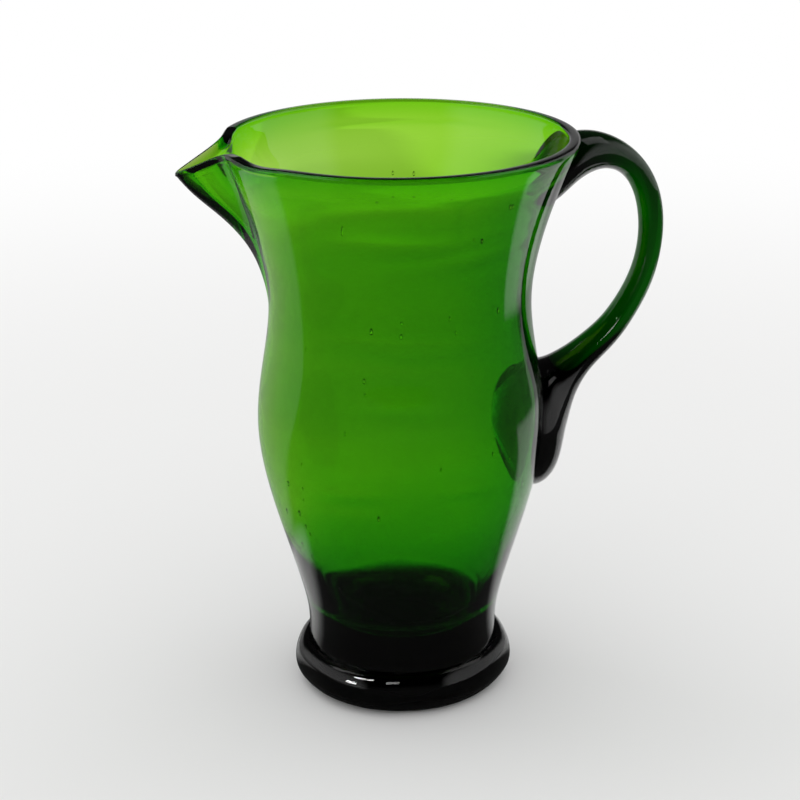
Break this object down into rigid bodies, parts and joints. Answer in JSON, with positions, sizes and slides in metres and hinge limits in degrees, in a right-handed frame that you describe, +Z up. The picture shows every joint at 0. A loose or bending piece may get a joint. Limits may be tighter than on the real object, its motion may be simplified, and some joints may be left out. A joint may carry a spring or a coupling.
{
  "type": "glass jug",
  "caption": "Hand-blown green glass jug with a flared rim, a pulled pouring spout, an applied looped handle and a heavy cushion foot, for serving drinks.",
  "frame": {"origin": "centre of the plane that the foot rests on, on the axis of the body", "axes": "+Z up along the body's axis, -X towards the spout; the handle stands 8 degrees off +X, towards +Y"},
  "size_m": [0.1957, 0.1418, 0.23],
  "materials": {
    "body_glass": "fire-polished, with slight waves and seeds",
    "foot_glass": "fire-polished, ground underneath",
    "handle_glass": "fire-polished, drawn"
  },
  "bodies": {
    "root": {"blown_body": "body_glass", "applied_foot": "foot_glass", "applied_handle": "handle_glass"}
  },
  "joints": []
}
